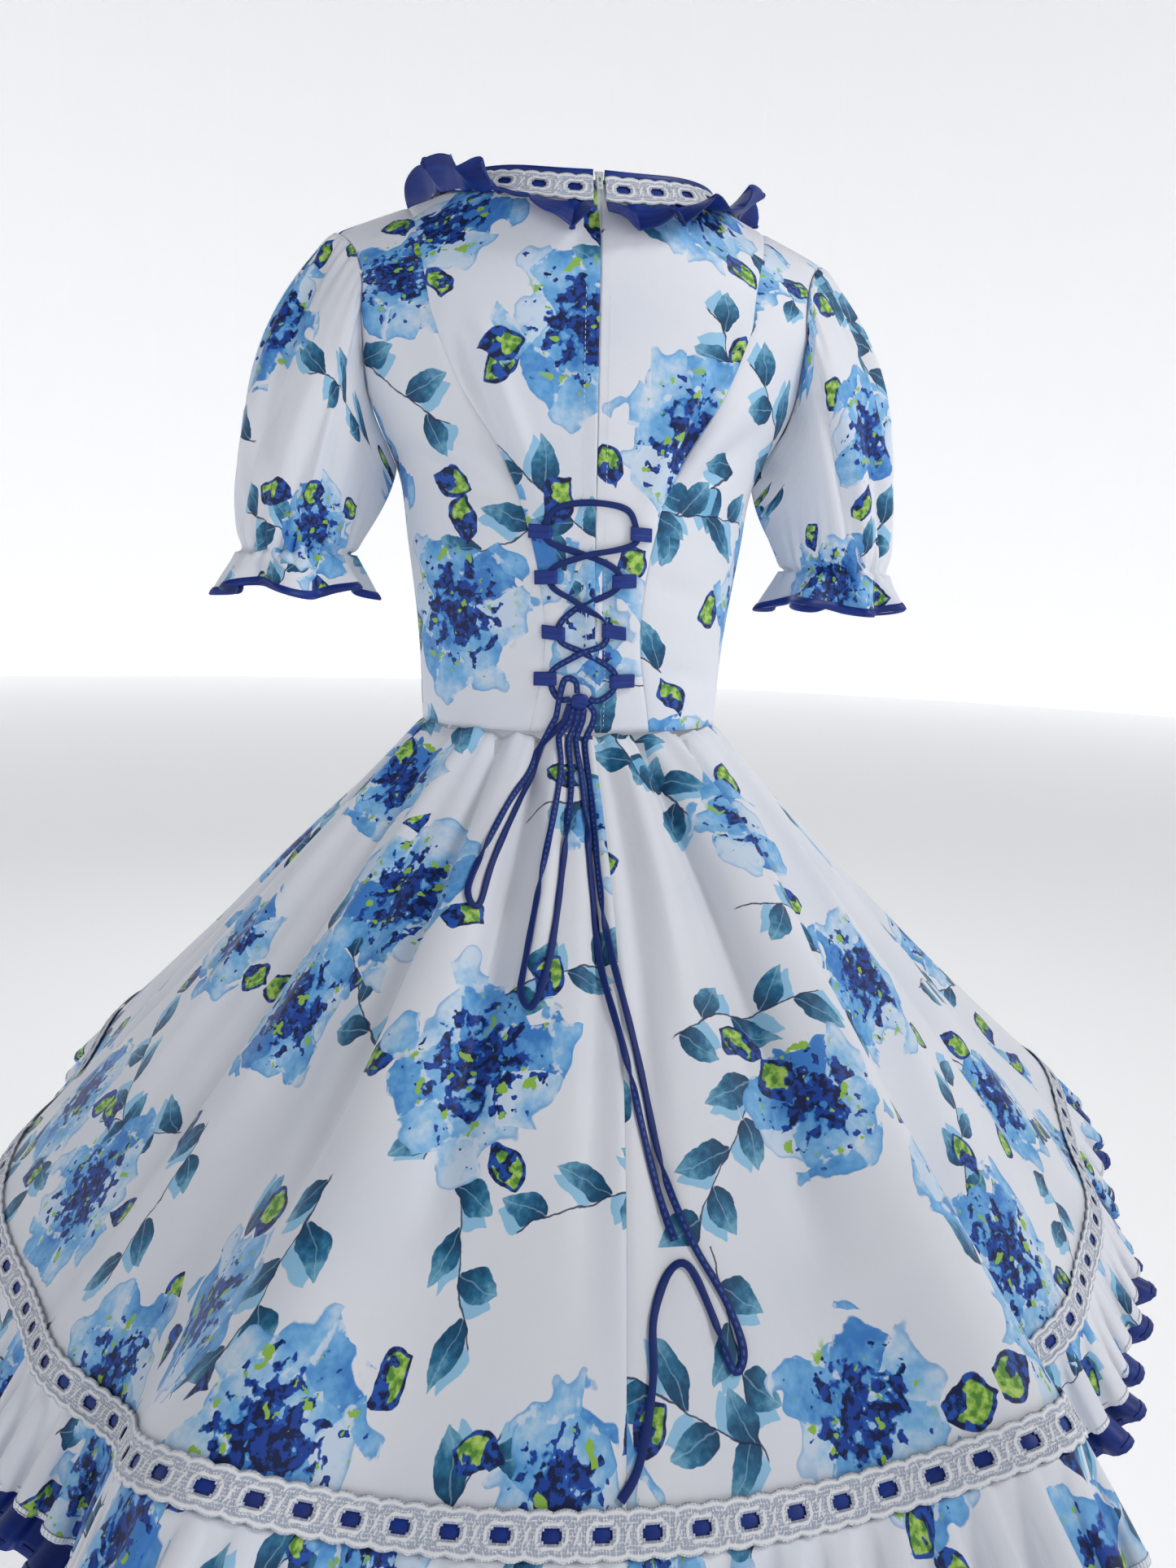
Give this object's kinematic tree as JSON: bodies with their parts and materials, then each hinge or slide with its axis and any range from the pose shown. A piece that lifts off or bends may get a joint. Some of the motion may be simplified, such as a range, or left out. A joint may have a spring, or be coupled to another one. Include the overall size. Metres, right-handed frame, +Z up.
{
  "type": "dance dress",
  "caption": "Short-sleeved full-circle dance dress in floral print, worn form: laced back, zip, ruffled neck and hem, beading lace with blue ribbon, net petticoat.",
  "frame": {"origin": "midway between the neck ends of the two shoulder seams, where the wearer's shoulders carry the dress", "axes": "+Z up; the front faces -Y and the laced back faces +Y, so +X is the wearer's left"},
  "size_m": [1.0595, 1.0678, 0.9556],
  "materials": {
    "floral_print_cloth": "white satin-backed polyester with a blue watercolour floral print",
    "royal_blue_cloth": "royal-blue satin cloth and ribbon",
    "white_lace": "white embroidered beading lace",
    "white_net": "stiff white net with a taped edge",
    "white_tape": "white zip tape and coil",
    "zip_metal": "off-white enamelled zip slider"
  },
  "bodies": {
    "dress": {"back_centre_left": "floral_print_cloth", "back_centre_right": "floral_print_cloth", "back_side_left": "floral_print_cloth", "back_side_right": "floral_print_cloth", "bow_knot": "royal_blue_cloth", "bow_loop_left": "royal_blue_cloth", "bow_loop_right": "royal_blue_cloth", "front_centre": "floral_print_cloth", "front_side_left": "floral_print_cloth", "front_side_right": "floral_print_cloth", "hem_lace_back": "white_lace", "hem_lace_front": "white_lace", "hem_ribbon": "royal_blue_cloth", "hem_ruffle": "floral_print_cloth", "lacing": "royal_blue_cloth", "lacing_loop_left_1": "royal_blue_cloth", "lacing_loop_left_2": "royal_blue_cloth", "lacing_loop_left_3": "royal_blue_cloth", "lacing_loop_left_4": "royal_blue_cloth", "lacing_loop_right_1": "royal_blue_cloth", "lacing_loop_right_2": "royal_blue_cloth", "lacing_loop_right_3": "royal_blue_cloth", "lacing_loop_right_4": "royal_blue_cloth", "neck_band": "royal_blue_cloth", "neck_lace": "white_lace", "neck_ribbon": "royal_blue_cloth", "neck_ruffle": "royal_blue_cloth", "petticoat": "white_net", "skirt_back_left": "floral_print_cloth", "skirt_back_right": "floral_print_cloth", "skirt_front": "floral_print_cloth", "sleeve_back_left": "floral_print_cloth", "sleeve_back_right": "floral_print_cloth", "sleeve_binding_left": "royal_blue_cloth", "sleeve_binding_right": "royal_blue_cloth", "sleeve_front_left": "floral_print_cloth", "sleeve_front_right": "floral_print_cloth", "tail_long": "royal_blue_cloth", "tail_short": "royal_blue_cloth", "under_ruffle": "royal_blue_cloth", "zip_chain": "white_tape", "zip_slider": "zip_metal"},
    "zip_pull_tab": {"zip_pull_tab": "zip_metal"}
  },
  "joints": [
    {"name": "zip_pull_tab_hinge", "type": "hinge", "parent": "dress", "child": "zip_pull_tab", "pos_m": [0, 0.08157, -0.00735], "axis": [1, 0, 0], "range_deg": [0, 150]}
  ]
}
